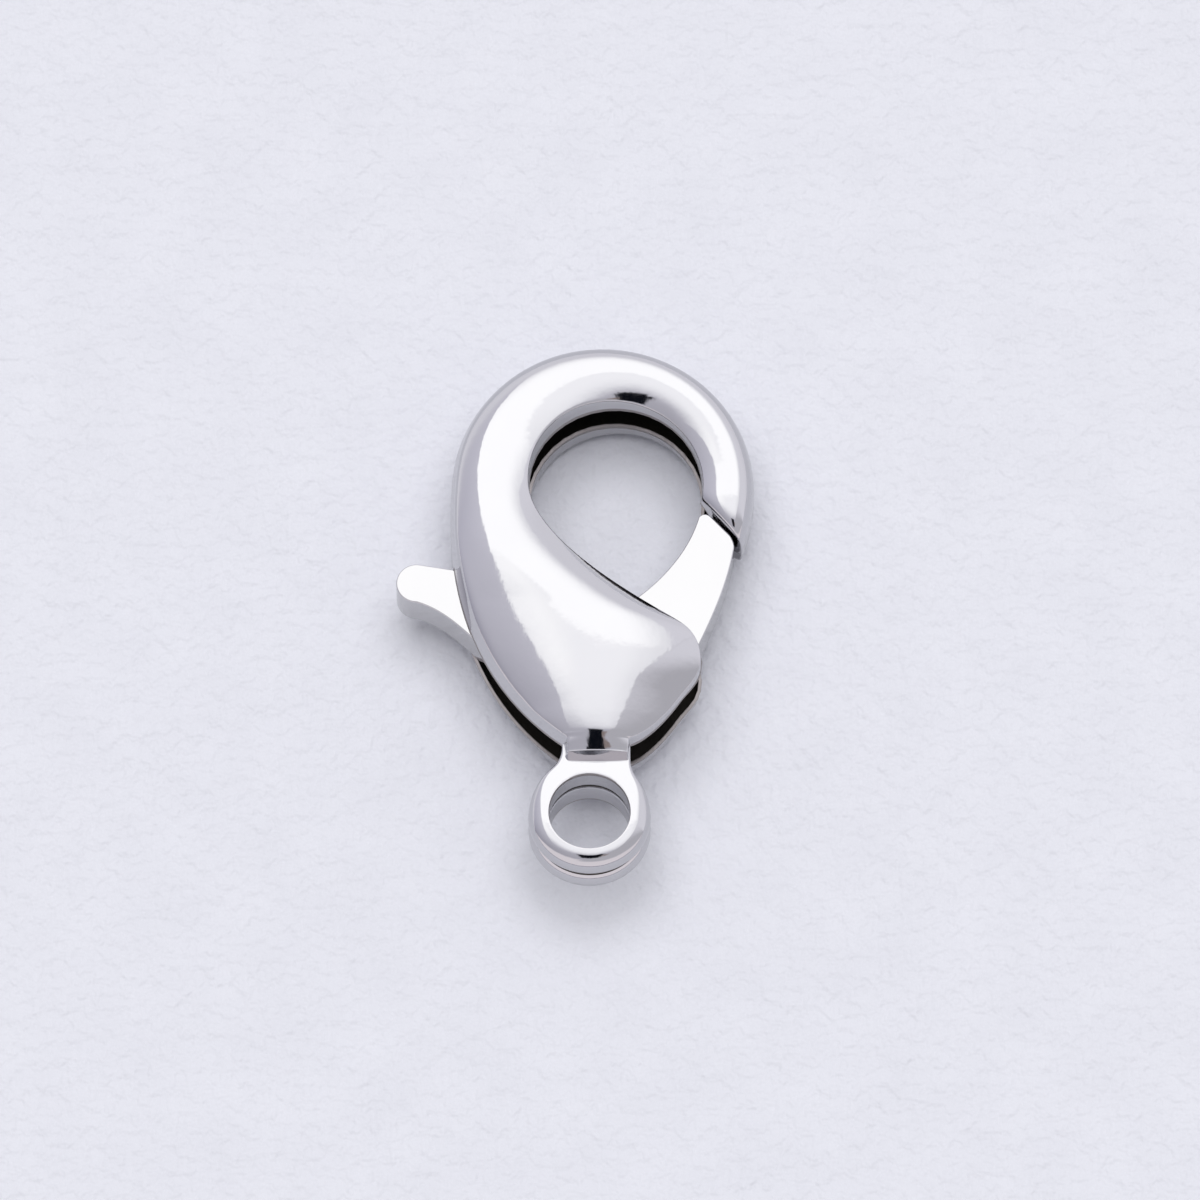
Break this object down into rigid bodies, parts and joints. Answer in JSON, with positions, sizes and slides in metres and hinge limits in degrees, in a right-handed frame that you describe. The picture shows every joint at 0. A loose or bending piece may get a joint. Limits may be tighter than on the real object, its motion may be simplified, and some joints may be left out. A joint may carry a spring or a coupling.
{
  "type": "lobster clasp",
  "caption": "Small bright metal lobster clasp: a hollow two-shell hook with a double tail ring and a flat sprung lever that closes the hook's mouth.",
  "frame": {"origin": "centre of the tail rings' hole, half way between the two shells", "axes": "+Y from the tail rings towards the hook, +Z along the hole's axis out of the upper shell, +X towards the gate's side"},
  "size_m": [0.0076, 0.012, 0.003],
  "materials": {
    "plated_shells": "bright mirror plating",
    "plated_lever": "bright mirror plating, flat stamped faces",
    "pin_steel": "plain turned"
  },
  "bodies": {
    "body": {"body": "plated_shells", "pivot_pin": "pin_steel"},
    "lever": {"lever": "plated_lever"}
  },
  "joints": [
    {"name": "lever_pivot", "type": "hinge", "parent": "body", "child": "lever", "pos_m": [0.00148, 0.00345, 0], "axis": [0, 0, 1], "range_deg": [0, 28], "stiffness_Nm_per_rad": 0.003, "springref_deg": -17.19}
  ]
}
